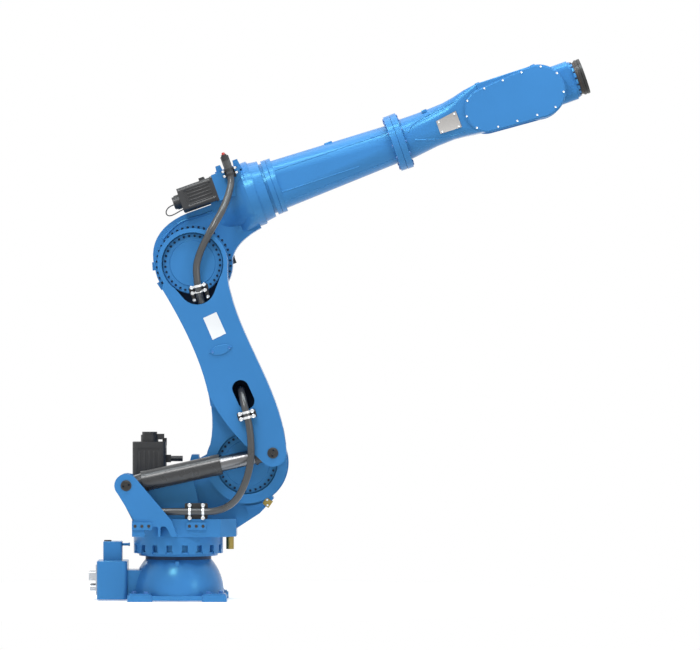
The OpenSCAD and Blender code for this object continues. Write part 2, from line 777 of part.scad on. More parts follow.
module egg(y0, y1, inset) {
    forearm_frame() slab(y0, y1) hull() {
        translate([egg_u, forearm_lift]) circle(r = fork_r - 24 - inset, $fn = 96);
        translate([forearm_len, forearm_lift]) circle(r = fork_r - 2 - inset, $fn = 96);
    }
}

module near_cover() {
    color(blue) union() {
        egg(-fork_half - 10, -fork_half, 0);
        egg(-fork_half - 14, -fork_half - 9, 6);
    }
}

module far_cover() {
    color(blue) union() {
        egg(fork_half, fork_half + 10, 0);
        egg(fork_half + 9, fork_half + 14, 6);
    }
}

nose_len = tool_reach - 57;
module wrist_body() {
    z = forearm_lift;
    j5 = forearm_len;
    color(blue) forearm_frame() union() {
        bar(j5, z, 108, -slot_half + move_gap, slot_half - move_gap, 96);
        bar(j5, z, 80, -slot_half + run_gap, slot_half - run_gap, 96);
        translate([j5, 0, z]) rotate([0, 90, 0]) linear_extrude(nose_len - 12)
            round_square(212, 2*(slot_half - move_gap), 44);
        translate([j5 + nose_len - 13, 0, z]) rotate([0, 90, 0]) linear_extrude(13)
            round_square(196, 2*(slot_half - move_gap), 50);
    }
}

module wrist_ring() {
    color(blue) forearm_frame() shaft(forearm_len + nose_len,
        forearm_len + tool_reach - 45 - run_gap, tool_r - 4, tool_r - 6, 96);
}

module tool_flange() {
    u = forearm_len + tool_reach;
    color(dark) forearm_frame() difference() {
        union() {
            shaft(u - 45, u - 30, tool_r - 8, tool_r - 8, 96);
            shaft(u - 31, u - 18, tool_r, tool_r, 96);
            shaft(u - 19, u - 14, tool_r - 5, tool_r - 5, 96);
            shaft(u - 15, u, tool_r, tool_r, 96);
        }
        shaft(u - 20, u + 1, tool_bore_r, tool_bore_r, 72);
        for (i = [0 : 5]) translate([u - 24, tool_pcd/2*cos(60*i), forearm_lift + tool_pcd/2*sin(60*i)])
            rotate([0, 90, 0]) cylinder(h = 25, d = tool_hole_d, $fn = 32);
    }
}

// Hose routes: over the shoulder, then over the elbow
lower_path = [[-154, gap_back - 10 - run_gap, hose_z], [-154, -172, hose_z], [-146, -203, hose_z],
    [-116, -229, hose_z], [-66, -239, hose_z], [40, hose_y, hose_z], [100, hose_y, hose_z],
    [160, hose_y - 2, hose_z], [212, -256, 483], [268, -283, 506], [315, -306, 546], [352, -321, 610],
    [378, -327, 684], on_arm(31, 21, arm_hose_y), on_arm(50, 88, arm_hose_y), on_arm(63, 155,
        arm_hose_y),
    on_arm(69, 215, arm_hose_y), on_arm(70, 270, arm_hose_y), on_arm(71, 306, arm_hose_y + 10),
    on_arm(72, 340, -295), on_arm(73, 370, -266), on_arm(74, 388, -236), on_arm(74, 388,
        slot_floor - run_gap)];
upper_path = [on_arm(-8, arm_len - 217, -268), on_arm(-8, arm_len - 200, -268),
    on_arm(-8, arm_len - 180, -276), on_arm(-7, arm_len - 158, -295), on_arm(-5, arm_len - 135, -312),
    on_arm(-1, arm_len - 105, top_arm_y), on_arm(5, arm_len - 70, top_arm_y),
    on_arm(16, arm_len - 25, top_arm_y), on_arm(36, arm_len + 16, top_arm_y),
    on_forearm(76, 60, top_arm_y), on_forearm(123, 105, top_arm_y), on_forearm(173, 150, -316),
    on_forearm(223, 194, -290), on_forearm(270, 243, -250), on_forearm(311, mount_v - 113, -211),
    on_forearm(336, mount_v - 65, -185), on_forearm(top_hose_u, mount_v - 18, top_hose_y),
    on_forearm(top_hose_u, mount_v + 20, top_hose_y),
    on_forearm(top_hose_u, mount_v + 45 - run_gap, top_hose_y)];

module lower_hose() {
    color(hose_grey) tube(lower_path, hose_r);
}

module upper_hose() {
    color(hose_grey) tube(upper_path, hose_r);
}

base_casting();
bearing_ring();
connector_box();
connector_panel();
box_cap();
stop_knob();
turntable_ring();
column_casting();
swivel_motor();
shoulder_motor();
stop_pin();
stop_block();
hole_blocks();
column_clamp();
hose_gland();
rear_pin();
barrel();
rod();
rod_end();
lower_arm();
shoulder_cover();
elbow_cover();
front_pin();
lens_plate();
arm_clamps();
elbow_casting();
elbow_motor();
drive_motors();
elbow_clamp();
hose_end();
rear_rings();
forearm_tube();
front_flanges();
wrist_root();
wrist_fork();
near_cover();
far_cover();
wrist_body();
wrist_ring();
tool_flange();
lower_hose();
upper_hose();
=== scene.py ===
"""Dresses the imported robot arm: soft edges, paint and metal finishes, screws, straps, plates and hoses."""
import json
import math

import bmesh
import bpy
import numpy as np
from mathutils import Matrix, Vector
from mathutils.geometry import interpolate_bezier


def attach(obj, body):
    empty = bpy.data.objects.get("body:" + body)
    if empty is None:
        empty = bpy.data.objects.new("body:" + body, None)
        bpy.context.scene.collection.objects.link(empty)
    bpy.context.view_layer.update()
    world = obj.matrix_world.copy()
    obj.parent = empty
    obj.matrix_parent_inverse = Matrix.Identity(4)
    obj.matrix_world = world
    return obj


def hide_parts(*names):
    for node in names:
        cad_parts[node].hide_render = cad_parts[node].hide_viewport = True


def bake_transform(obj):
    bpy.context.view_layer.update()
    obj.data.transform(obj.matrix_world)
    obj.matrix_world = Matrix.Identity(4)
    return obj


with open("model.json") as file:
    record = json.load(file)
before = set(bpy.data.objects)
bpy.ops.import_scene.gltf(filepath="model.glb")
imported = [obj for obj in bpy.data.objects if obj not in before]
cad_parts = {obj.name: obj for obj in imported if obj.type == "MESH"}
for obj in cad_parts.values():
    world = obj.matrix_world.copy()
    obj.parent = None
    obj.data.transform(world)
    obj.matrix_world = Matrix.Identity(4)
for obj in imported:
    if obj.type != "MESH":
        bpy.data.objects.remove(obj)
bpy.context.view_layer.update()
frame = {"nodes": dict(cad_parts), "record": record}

# Axes and main sizes of the CAD model, in metres
SHOULDER = Vector((0.367, 0.0, 0.729))
ARM_LEAN = math.radians(15.0)
ARM_LEN = 1.097
FORE_TILT = math.radians(19.6)
FORE_LIFT = 0.246
FORE_LEN = 2.033
ARM_FRONT = -0.300
SHOULDER_COVER_Y = -0.117
ELBOW_COVER_Y = -0.267
ELBOW_CASTING_Y = -0.055
SLOT_FLOOR_Y = -0.205
EGG_Y = 0.149
PAD_TOP = 0.043
HOSE_R = 0.019
NEAR = Vector((0.0, -1.0, 0.0))
FAR = Vector((0.0, 1.0, 0.0))
UP = Vector((0.0, 0.0, 1.0))


def turned(origin, angle):
    """A frame at origin whose x axis is tilted up by angle in the side view; y stays y."""
    c, s = math.cos(angle), math.sin(angle)
    return Matrix(((c, 0, -s, origin[0]), (0, 1, 0, origin[1]), (s, 0, c, origin[2]), (0, 0, 0, 1)))


ARM = turned(SHOULDER, ARM_LEAN)
ELBOW = ARM @ Vector((0.0, 0.0, ARM_LEN))
FORE = turned(ELBOW, FORE_TILT)
FORE_DIR = (FORE.to_3x3() @ Vector((1, 0, 0))).normalized()


# Camera at the photograph's angle
VIEW_CENTRE = Vector((0.914, -0.15, 1.463))
VIEW_WIDTH = 3.71
VIEW_DISTANCE = 30.0
VIEW_FAR = 200.0
SENSOR = 36.0

camera_data = bpy.data.cameras.new("camera")
camera_data.sensor_width = SENSOR
camera_data.lens = SENSOR * VIEW_DISTANCE / VIEW_WIDTH
camera_data.clip_end = VIEW_FAR
camera = bpy.data.objects.new("camera", camera_data)
camera.location = VIEW_CENTRE + NEAR * VIEW_DISTANCE
camera.rotation_euler = (math.radians(90.0), 0.0, 0.0)
bpy.context.scene.collection.objects.link(camera)
bpy.context.scene.camera = camera


# Finishes

COAT_ROUGH = 0.25
LEAST_ROUGH = 0.02
TONE_BAND = (0.3, 0.7)
TONE_DETAIL = 5.0
GRAIN_DETAIL = 3.0
GRAIN_DEPTH = 0.001
WHITE = (1.0, 1.0, 1.0)


def finish(name, colour, rough, metal=0.0, coat=0.0, tone=0.06, tone_size=4.0,
           grain=0.02, grain_size=900.0, rough_swing=0.08, brushed=None, shine=WHITE, mirror=0.5):
    """A procedural finish: broad tone drift, uneven gloss and a fine surface grain."""
    mat = bpy.data.materials.new(name)
    mat.use_nodes = True
    nodes, links = mat.node_tree.nodes, mat.node_tree.links
    shader = nodes["Principled BSDF"]
    shader.inputs["Metallic"].default_value = metal
    shader.inputs["Coat Weight"].default_value = coat
    shader.inputs["Coat Roughness"].default_value = COAT_ROUGH
    shader.inputs["Specular Tint"].default_value = shine + (1.0,)
    shader.inputs["Specular IOR Level"].default_value = mirror
    coords = nodes.new("ShaderNodeTexCoord")
    broad = nodes.new("ShaderNodeTexNoise")
    broad.inputs["Scale"].default_value = tone_size
    broad.inputs["Detail"].default_value = TONE_DETAIL
    links.new(coords.outputs["Object"], broad.inputs["Vector"])
    shades = nodes.new("ShaderNodeValToRGB")
    low, high = shades.color_ramp.elements
    low.position, high.position = TONE_BAND
    low.color = tuple(c * (1 - tone) for c in colour) + (1.0,)
    high.color = tuple(min(1.0, c * (1 + tone)) for c in colour) + (1.0,)
    links.new(broad.outputs["Fac"], shades.inputs["Fac"])
    links.new(shades.outputs["Color"], shader.inputs["Base Color"])
    fine = nodes.new("ShaderNodeTexNoise")
    fine.inputs["Scale"].default_value = grain_size
    fine.inputs["Detail"].default_value = GRAIN_DETAIL
    if brushed:
        stretch = nodes.new("ShaderNodeMapping")
        stretch.inputs["Scale"].default_value = brushed
        links.new(coords.outputs["Object"], stretch.inputs["Vector"])
        links.new(stretch.outputs["Vector"], fine.inputs["Vector"])
    else:
        links.new(coords.outputs["Object"], fine.inputs["Vector"])
    gloss = nodes.new("ShaderNodeMapRange")
    gloss.inputs["To Min"].default_value = max(LEAST_ROUGH, rough - rough_swing)
    gloss.inputs["To Max"].default_value = min(1.0, rough + rough_swing)
    links.new(broad.outputs["Fac"], gloss.inputs["Value"])
    links.new(gloss.outputs["Result"], shader.inputs["Roughness"])
    bump = nodes.new("ShaderNodeBump")
    bump.inputs["Strength"].default_value = grain
    bump.inputs["Distance"].default_value = GRAIN_DEPTH
    links.new(fine.outputs["Fac"], bump.inputs["Height"])
    links.new(bump.outputs["Normal"], shader.inputs["Normal"])
    return mat


BLUE_PAINT = finish("blue_paint", (0.040, 0.172, 0.425), 0.25, coat=0.02, tone=0.05, tone_size=3.0,
                    grain=0.008, grain_size=420.0, rough_swing=0.04, shine=(0.28, 0.92, 1.0))
DARK_PAINT = finish("dark_paint", (0.030, 0.030, 0.031), 0.42, coat=0.08, tone=0.12, tone_size=9.0,
                    grain=0.16, grain_size=700.0, mirror=0.4)
BARREL_PAINT = finish("barrel_paint", (0.028, 0.028, 0.029), 0.28, coat=0.08, tone=0.10, tone_size=8.0,
                      grain=0.06, grain_size=600.0)
BLACK_RUBBER = finish("black_rubber", (0.012, 0.012, 0.013), 0.62, tone=0.15, grain=0.2, grain_size=1200.0)
BLACK_PLASTIC = finish("black_plastic", (0.016, 0.016, 0.017), 0.45, tone=0.12, grain=0.2, grain_size=1500.0)
GREY_METAL = finish("grey_metal", (0.45, 0.46, 0.48), 0.40, metal=0.85, tone=0.08, grain=0.1)
BRIGHT_STEEL = finish("bright_steel", (0.185, 0.185, 0.19), 0.30, metal=1.0, tone=0.05, grain=0.05,
                      grain_size=200.0, brushed=(1.0, 1.0, 14.0))
ZINC = finish("zinc", (0.78, 0.79, 0.80), 0.30, metal=0.7, grain=0.08, grain_size=1200.0)
DARK_STEEL = finish("dark_steel", (0.026, 0.025, 0.024), 0.34, metal=0.3, tone=0.15, grain=0.12,
                    grain_size=800.0)
DARK_SCREW = finish("dark_screw", (0.010, 0.026, 0.060), 0.45, tone=0.15, grain=0.1, mirror=0.15)
BLUE_SCREW = finish("blue_screw", (0.030, 0.150, 0.42), 0.42, coat=0.2, tone=0.08, grain=0.1)
BRASS = finish("brass", (0.32, 0.24, 0.07), 0.36, metal=0.9, tone=0.14, grain=0.12, grain_size=700.0)
GREY_HOSE = finish("grey_hose", (0.046, 0.047, 0.048), 0.30, coat=0.25, tone=0.10, tone_size=14.0,
                   grain=0.14, grain_size=800.0)
PLATE_GREY = finish("plate_grey", (0.37, 0.35, 0.335), 0.40, metal=0.3, tone=0.05, grain=0.03,
                    grain_size=500.0)
PLATE_WHITE = finish("plate_white", (0.72, 0.73, 0.74), 0.45, tone=0.04, grain=0.06, grain_size=800.0)
BEARING_SHADE = finish("bearing_shade", (0.010, 0.030, 0.072), 0.5, tone=0.1, grain=0.1,
                       grain_size=700.0, mirror=0.2)
SLOT_SHADE = finish("slot_shade", (0.004, 0.010, 0.020), 0.7, tone=0.15, grain=0.1,
                    grain_size=700.0, mirror=0.1)
SEAL_BROWN = finish("seal_brown", (0.060, 0.040, 0.030), 0.5, tone=0.15, grain=0.1)
SIGNAL_RED = finish("signal_red", (0.42, 0.03, 0.02), 0.45, tone=0.08, grain=0.08)

NODE_FINISH = {
    "blue_paint": BLUE_PAINT, "dark_paint": DARK_PAINT, "black_rubber": BLACK_RUBBER,
    "black_plastic": BLACK_PLASTIC, "grey_metal": GREY_METAL, "bright_steel": BRIGHT_STEEL,
    "dark_steel": DARK_STEEL, "brass": BRASS, "grey_hose": GREY_HOSE,
}
OWN_FINISH = {"barrel": BARREL_PAINT, "bearing_ring": BEARING_SHADE}

# How far the edges of each casting are rounded, in metres; others take the small round
EDGE_ROUND = {
    "base_casting": 0.005, "connector_box": 0.006, "turntable_ring": 0.003, "column_casting": 0.007,
    "lower_arm": 0.008, "elbow_casting": 0.007, "wrist_fork": 0.006, "wrist_body": 0.006,
    "forearm_tube": 0.0, "wrist_root": 0.0, "shoulder_cover": 0.003, "elbow_cover": 0.003,
    "near_cover": 0.004, "far_cover": 0.004, "lens_plate": 0.003, "front_flanges": 0.003,
    "rear_rings": 0.003,
    "swivel_motor": 0.004, "shoulder_motor": 0.004, "elbow_motor": 0.004, "drive_motors": 0.004,
}
SMALL_ROUND = 0.002
EDGE_STEPS = 3

# Angles in degrees: edges steeper than EDGE_ANGLE are rounded, steeper than SMOOTH_ANGLE stay sharp
EDGE_ANGLE = 32.0
SMOOTH_ANGLE = 38.0
FLAT_ANGLE = 0.6
WELD_GAP = 0.00005
SHADE_WEIGHT = 60


def node_tool(name):
    """An empty geometry tool with one mesh in and one mesh out."""
    tool = bpy.data.node_groups.new(name, "GeometryNodeTree")
    tool.interface.new_socket("Mesh", in_out="INPUT", socket_type="NodeSocketGeometry")
    tool.interface.new_socket("Mesh", in_out="OUTPUT", socket_type="NodeSocketGeometry")
    return tool, tool.nodes.new("NodeGroupInput"), tool.nodes.new("NodeGroupOutput")


def plain_normals_tool():
    """Drops the normals that came with the file, so the rounded edges shade by their own faces."""
    tool, enter, leave = node_tool("plain_normals")
    drop = tool.nodes.new("GeometryNodeRemoveAttribute")
    drop.inputs["Name"].default_value = "custom_normal"
    tool.links.new(enter.outputs[0], drop.inputs["Geometry"])
    tool.links.new(drop.outputs["Geometry"], leave.inputs[0])
    return tool


def smooth_tool(angle):
    """Smooth shading, with edges left sharp where faces meet more steeply than angle."""
    tool, enter, leave = node_tool("smooth_by_angle")
    faces = tool.nodes.new("GeometryNodeSetShadeSmooth")
    faces.domain = "FACE"
    edges = tool.nodes.new("GeometryNodeSetShadeSmooth")
    edges.domain = "EDGE"
    edges.inputs["Shade Smooth"].default_value = False
    meet = tool.nodes.new("GeometryNodeInputMeshEdgeAngle")
    steep = tool.nodes.new("FunctionNodeCompare")
    steep.operation = "GREATER_THAN"
    steep.inputs[1].default_value = math.radians(angle)
    tool.links.new(meet.outputs["Unsigned Angle"], steep.inputs[0])
    tool.links.new(enter.outputs[0], faces.inputs["Geometry"])
    tool.links.new(faces.outputs["Geometry"], edges.inputs["Geometry"])
    tool.links.new(steep.outputs[0], edges.inputs["Selection"])
    tool.links.new(edges.outputs["Geometry"], leave.inputs[0])
    return tool


PLAIN_NORMALS = plain_normals_tool()
SMOOTH = smooth_tool(SMOOTH_ANGLE)


def soften(obj, width):
    """Rounds the sharp edges of a piece and evens the shading of its flats."""
    obj.modifiers.new("plain", "NODES").node_group = PLAIN_NORMALS
    weld = obj.modifiers.new("weld", "WELD")
    weld.merge_threshold = WELD_GAP
    flats = obj.modifiers.new("flats", "DECIMATE")
    flats.decimate_type = "DISSOLVE"
    flats.angle_limit = math.radians(FLAT_ANGLE)
    if width > 0:
        edges = obj.modifiers.new("edges", "BEVEL")
        edges.width = width
        edges.segments = EDGE_STEPS
        edges.limit_method = "ANGLE"
        edges.angle_limit = math.radians(EDGE_ANGLE)
        edges.use_clamp_overlap = True
        edges.harden_normals = False
    obj.modifiers.new("smooth", "NODES").node_group = SMOOTH
    shade = obj.modifiers.new("shade", "WEIGHTED_NORMAL")
    shade.keep_sharp = True
    shade.weight = SHADE_WEIGHT


slots = {row["node"]: row["material_slot"] for row in frame["record"]["subparts"]}
for node_name, node in frame["nodes"].items():
    node.data.materials.clear()
    node.data.materials.append(OWN_FINISH.get(node_name, NODE_FINISH[slots[node_name]]))
    if not node_name.endswith("_hose"):
        soften(node, EDGE_ROUND.get(node_name, SMALL_ROUND))


# Making pieces

SHARP_ANGLE = 35.0
SAME_SPOT = 1e-6


def place(point, normal, spin=0.0):
    """Where a small part stands: its foot at point, its own z along normal."""
    turn = Vector(normal).to_track_quat("Z", "Y").to_matrix().to_4x4()
    return Matrix.Translation(point) @ turn @ Matrix.Rotation(spin, 4, "Z")


def piece(name, bm, body, material, smooth=SHARP_ANGLE):
    """A finished mesh as an object at the origin that rides on a body."""
    bmesh.ops.recalc_face_normals(bm, faces=bm.faces)
    mesh = bpy.data.meshes.new(name)
    bm.to_mesh(mesh)
    bm.free()
    mesh.materials.append(material)
    mesh.polygons.foreach_set("use_smooth", [True] * len(mesh.polygons))
    mesh.set_sharp_from_angle(angle=math.radians(smooth))
    obj = bpy.data.objects.new(name, mesh)
    bpy.context.scene.collection.objects.link(obj)
    if body:
        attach(obj, body)
    return obj


def bevel(bm, edges, width):
    """Rounds edges of a new piece in two steps."""
    bmesh.ops.bevel(bm, geom=edges, offset=width, offset_type="OFFSET", affect="EDGES",
                    segments=2, profile=0.5, material=-1)


def rim_edges(bm, height):
    """Edges that lie wholly at one height along z."""
    return [e for e in bm.edges if all(abs(v.co.z - height) < SAME_SPOT for v in e.verts)]


# Shares of a screw's radius or height
SOCKET_EDGE, SOCKET_RIM, SOCKET_DEPTH = 0.16, 0.40, 0.45
WASHER_R, WASHER_H, HEAD_MIDDLE, HEAD_EDGE = 1.35, 0.25, 0.7, 0.12
FLAT_TOP, FLAT_RIM, FLAT_DISH = 0.82, 0.3, 0.4


def socket_screw(radius, height):
    """A cap screw standing on z = 0, with a round socket."""
    bm = bmesh.new()
    bmesh.ops.create_cone(bm, cap_ends=True, segments=16, radius1=radius, radius2=radius, depth=height,
                          matrix=Matrix.Translation((0, 0, height / 2)))
    bevel(bm, rim_edges(bm, height), radius * SOCKET_EDGE)
    top = max(bm.faces, key=lambda f: f.calc_center_median().z)
    bmesh.ops.inset_region(bm, faces=[top], thickness=radius * SOCKET_RIM)
    bmesh.ops.translate(bm, verts=top.verts, vec=(0, 0, -height * SOCKET_DEPTH))
    return bm


def hex_bolt(radius, height):
    """A hexagon bolt head on a washer, standing on z = 0."""
    bm = bmesh.new()
    bmesh.ops.create_cone(bm, cap_ends=True, segments=20, radius1=radius * WASHER_R,
                          radius2=radius * WASHER_R, depth=height * WASHER_H,
                          matrix=Matrix.Translation((0, 0, height * WASHER_H / 2)))
    head = bmesh.ops.create_cone(bm, cap_ends=True, segments=6, radius1=radius, radius2=radius,
                                 depth=height, matrix=Matrix.Translation((0, 0, height * HEAD_MIDDLE)))
    top = [e for v in head["verts"] for e in v.link_edges if all(w.co.z > height for w in e.verts)]
    bevel(bm, list(set(top)), radius * HEAD_EDGE)
    return bm


def flat_screw(radius, height):
    """A low round screw head with a shallow dish."""
    bm = bmesh.new()
    bmesh.ops.create_cone(bm, cap_ends=True, segments=14, radius1=radius, radius2=radius * FLAT_TOP,
                          depth=height, matrix=Matrix.Translation((0, 0, height / 2)))
    top = max(bm.faces, key=lambda f: f.calc_center_median().z)
    bmesh.ops.inset_region(bm, faces=[top], thickness=radius * FLAT_RIM)
    bmesh.ops.translate(bm, verts=top.verts, vec=(0, 0, -height * FLAT_DISH))
    return bm


def many(template, places):
    """Copies of one small part, each set at its place."""
    pattern = bpy.data.meshes.new("pattern")
    template.to_mesh(pattern)
    template.free()
    bm = bmesh.new()
    for spot in places:
        start = len(bm.verts)
        bm.from_mesh(pattern)
        bm.verts.ensure_lookup_table()
        bmesh.ops.transform(bm, matrix=spot, verts=bm.verts[start:])
    bpy.data.meshes.remove(pattern)
    return bm


def turned_part(profile, spot, steps=40):
    """A round part from its profile, [radius, height] pairs from the axis outwards and back."""
    bm = bmesh.new()
    ring = [bm.verts.new((r, 0.0, z)) for r, z in profile]
    edges = [bm.edges.new(pair) for pair in zip(ring, ring[1:])]
    bmesh.ops.spin(bm, geom=ring + edges, cent=(0, 0, 0), axis=(0, 0, 1), angle=math.tau, steps=steps,
                   use_merge=True)
    bmesh.ops.remove_doubles(bm, verts=bm.verts, dist=SAME_SPOT)
    bmesh.ops.transform(bm, matrix=spot, verts=bm.verts)
    return bm


def block(size, spot, rounding):
    """A rounded block whose middle is at spot."""
    bm = bmesh.new()
    bmesh.ops.create_cube(bm, size=1.0)
    bmesh.ops.scale(bm, vec=size, verts=bm.verts)
    bevel(bm, list(bm.edges), rounding)
    bmesh.ops.transform(bm, matrix=spot, verts=bm.verts)
    return bm


def merged(parts):
    """Several small meshes as one."""
    bm = bmesh.new()
    for part in parts:
        mesh = bpy.data.meshes.new("part")
        part.to_mesh(mesh)
        part.free()
        bm.from_mesh(mesh)
        bpy.data.meshes.remove(mesh)
    return bm


def circle_of(base, centre, radius, count, y, normal, start):
    """Places around a circle in the side view of a frame."""
    spots = []
    for i in range(count):
        a = start + math.tau * i / count
        p = base @ Vector((centre[0] + radius * math.cos(a), y, centre[1] + radius * math.sin(a)))
        spots.append(place(p, normal, a))
    return spots


def around_axis(u, radius, count, direction, start):
    """Places around the forearm's own axis, on a face across it."""
    spots = []
    for i in range(count):
        a = start + math.tau * i / count
        p = FORE @ Vector((u, radius * math.cos(a), FORE_LIFT + radius * math.sin(a)))
        spots.append(place(p, FORE_DIR * direction, a))
    return spots


def side_places(base, points, y, normal):
    """Places at [x, z] points in the side view of a frame."""
    return [place(base @ Vector((x, y, z)), normal) for x, z in points]


# Hoses, on the same routes as the CAD solids

def arm_point(b, a, y):
    """A point a along the lower arm, b in front of its axis."""
    return ARM @ Vector((b, y, a))


def fore_point(u, v, y):
    """A point u along the forearm from the elbow, v above it."""
    return FORE @ Vector((u, y, v))


HOSE_Z = 0.477
HOSE_MOUNT_U = 0.345
TOP_ARM_Y = -0.322
ARM_HOSE_Y = -0.3273
TOP_HOSE_Y = -0.1793
LOWER_ROUTE = [
    Vector((-0.154, -0.1503, HOSE_Z)), Vector((-0.154, -0.172, HOSE_Z)), Vector((-0.146, -0.203, HOSE_Z)),
    Vector((-0.116, -0.229, HOSE_Z)), Vector((-0.066, -0.239, HOSE_Z)), Vector((0.040, -0.241, HOSE_Z)),
    Vector((0.100, -0.241, HOSE_Z)), Vector((0.160, -0.243, HOSE_Z)), Vector((0.212, -0.256, 0.483)),
    Vector((0.268, -0.283, 0.506)), Vector((0.315, -0.306, 0.546)), Vector((0.352, -0.321, 0.610)),
    Vector((0.378, -0.327, 0.684)), arm_point(0.031, 0.021, ARM_HOSE_Y), arm_point(0.050, 0.088, ARM_HOSE_Y),
    arm_point(0.063, 0.155, ARM_HOSE_Y), arm_point(0.069, 0.215, ARM_HOSE_Y),
    arm_point(0.070, 0.270, ARM_HOSE_Y), arm_point(0.071, 0.306, ARM_HOSE_Y + 0.010),
    arm_point(0.072, 0.340, -0.295), arm_point(0.073, 0.370, -0.266),
    arm_point(0.074, 0.388, -0.236), arm_point(0.074, 0.388, -0.2053),
]
UPPER_ROUTE = [
    arm_point(-0.008, ARM_LEN - 0.217, -0.268), arm_point(-0.008, ARM_LEN - 0.200, -0.268),
    arm_point(-0.008, ARM_LEN - 0.180, -0.276), arm_point(-0.007, ARM_LEN - 0.158, -0.295),
    arm_point(-0.005, ARM_LEN - 0.135, -0.312), arm_point(-0.001, ARM_LEN - 0.105, TOP_ARM_Y),
    arm_point(0.005, ARM_LEN - 0.070, TOP_ARM_Y), arm_point(0.016, ARM_LEN - 0.025, TOP_ARM_Y),
    arm_point(0.036, ARM_LEN + 0.016, TOP_ARM_Y),
    fore_point(0.076, 0.060, TOP_ARM_Y), fore_point(0.123, 0.105, TOP_ARM_Y),
    fore_point(0.173, 0.150, -0.316), fore_point(0.223, 0.194, -0.290), fore_point(0.270, 0.243, -0.250),
    fore_point(0.311, 0.297, -0.211), fore_point(0.336, 0.345, -0.185),
    fore_point(HOSE_MOUNT_U, 0.392, TOP_HOSE_Y), fore_point(HOSE_MOUNT_U, 0.430, TOP_HOSE_Y),
    fore_point(HOSE_MOUNT_U, 0.4547, TOP_HOSE_Y),
]
# Two points on each hose's route, passed to hose() as start and end
LOWER_BEND = (LOWER_ROUTE[7], LOWER_ROUTE[16])
UPPER_BEND = (UPPER_ROUTE[5], UPPER_ROUTE[15])
LINE_STEPS = 6
HOSE_WELD = 1e-5


def smooth_line(name, route, radius):
    """A round curve through the points of a route."""
    curve = bpy.data.curves.new(name, "CURVE")
    curve.dimensions = "3D"
    curve.bevel_depth = radius
    curve.bevel_resolution = LINE_STEPS
    curve.resolution_u = LINE_STEPS
    curve.use_fill_caps = True
    line = curve.splines.new("BEZIER")
    line.bezier_points.add(len(route) - 1)
    for knot, point in zip(line.bezier_points, route):
        knot.co = point
        knot.handle_left_type = knot.handle_right_type = "AUTO"
    drawn = bpy.data.objects.new(name, curve)
    bpy.context.scene.collection.objects.link(drawn)
    return drawn


def swept(name, route, radius):
    """A round mesh along a smooth route."""
    drawn = smooth_line(name + "_line", route, radius)
    curve = drawn.data
    bpy.context.view_layer.update()
    mesh = bpy.data.meshes.new_from_object(drawn.evaluated_get(bpy.context.evaluated_depsgraph_get()))
    bpy.data.objects.remove(drawn)
    bpy.data.curves.remove(curve)
    bm = bmesh.new()
    bm.from_mesh(mesh)
    bpy.data.meshes.remove(mesh)
    bmesh.ops.remove_doubles(bm, verts=bm.verts, dist=HOSE_WELD)
    return bm


def hose(name, route, node, bodies, start, end):
    """A smooth hose along its route that stands for its CAD solid, which is hidden."""
    obj = piece(name, swept(name, route, HOSE_R), None, GREY_HOSE)
    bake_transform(obj)
    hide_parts(node)


hose("column_hose", LOWER_ROUTE, "lower_hose", ("column", "lower_arm"), *LOWER_BEND)
hose("elbow_hose", UPPER_ROUTE, "upper_hose", ("lower_arm", "upper_arm"), *UPPER_BEND)


# Clamp straps over the hoses

STRAP_W = 0.013
STRAP_T = 0.003
STRAP_EAR = 0.024
STRAP_GAP = 0.0004
STRAP_STEPS = 20
STRAP_DEPTH = 0.0193
STRAP_SCREW_R = 0.0105
STRAP_SCREW_H = 0.009
RECESS_SCREW_R = 0.0095
ELBOW_SCREW_R = 0.007
EAR_ROUND = 0.001
# Shares of the strap's width and of the ear's length
EAR_WIDTH, EAR_SCREW = 0.8, 0.6


def strap(middle, along, depth):
    """A bent strap over a hose: half ring outside, two ears that reach depth back to the clamp plate."""
    along = Vector(along).normalized()
    across = NEAR.cross(along).normalized()
    spot = Matrix.Translation(middle) @ Matrix((across, NEAR, along)).transposed().to_4x4()
    bm = bmesh.new()
    inner, outer = HOSE_R + STRAP_GAP, HOSE_R + STRAP_T
    ring = [bm.verts.new(p) for p in ((inner, 0, -STRAP_W / 2), (outer, 0, -STRAP_W / 2),
                                      (outer, 0, STRAP_W / 2), (inner, 0, STRAP_W / 2))]
    first = bm.faces.new(ring)
    bmesh.ops.spin(bm, geom=[first] + list(first.edges) + ring, cent=(0, 0, 0), axis=(0, 0, 1), angle=math.pi,
                   steps=STRAP_STEPS)
    bmesh.ops.transform(bm, matrix=spot, verts=bm.verts)
    parts = [bm]
    for side in (-1, 1):
        ear = Matrix.Translation((side * (inner + STRAP_EAR / 2), (STRAP_T - depth) / 2, 0))
        parts.append(block((STRAP_EAR, depth + STRAP_T, STRAP_W * EAR_WIDTH), spot @ ear, EAR_ROUND))
    heads = [place(spot @ Vector((side * (inner + STRAP_EAR * EAR_SCREW), STRAP_T, 0)), NEAR)
             for side in (-1, 1)]
    return merged(parts), heads


def straps(name, body, rows, band_finish, head_r):
    """The straps of one clamp and their screws; a row is [middle, along, depth]."""
    bands, heads = [], []
    for middle, along, depth in rows:
        band, spots = strap(middle, along, depth)
        bands.append(band)
        heads += spots
    piece(name, merged(bands), body, band_finish)
    piece(name + "_screws", many(socket_screw(head_r, STRAP_SCREW_H), heads), body, ZINC)


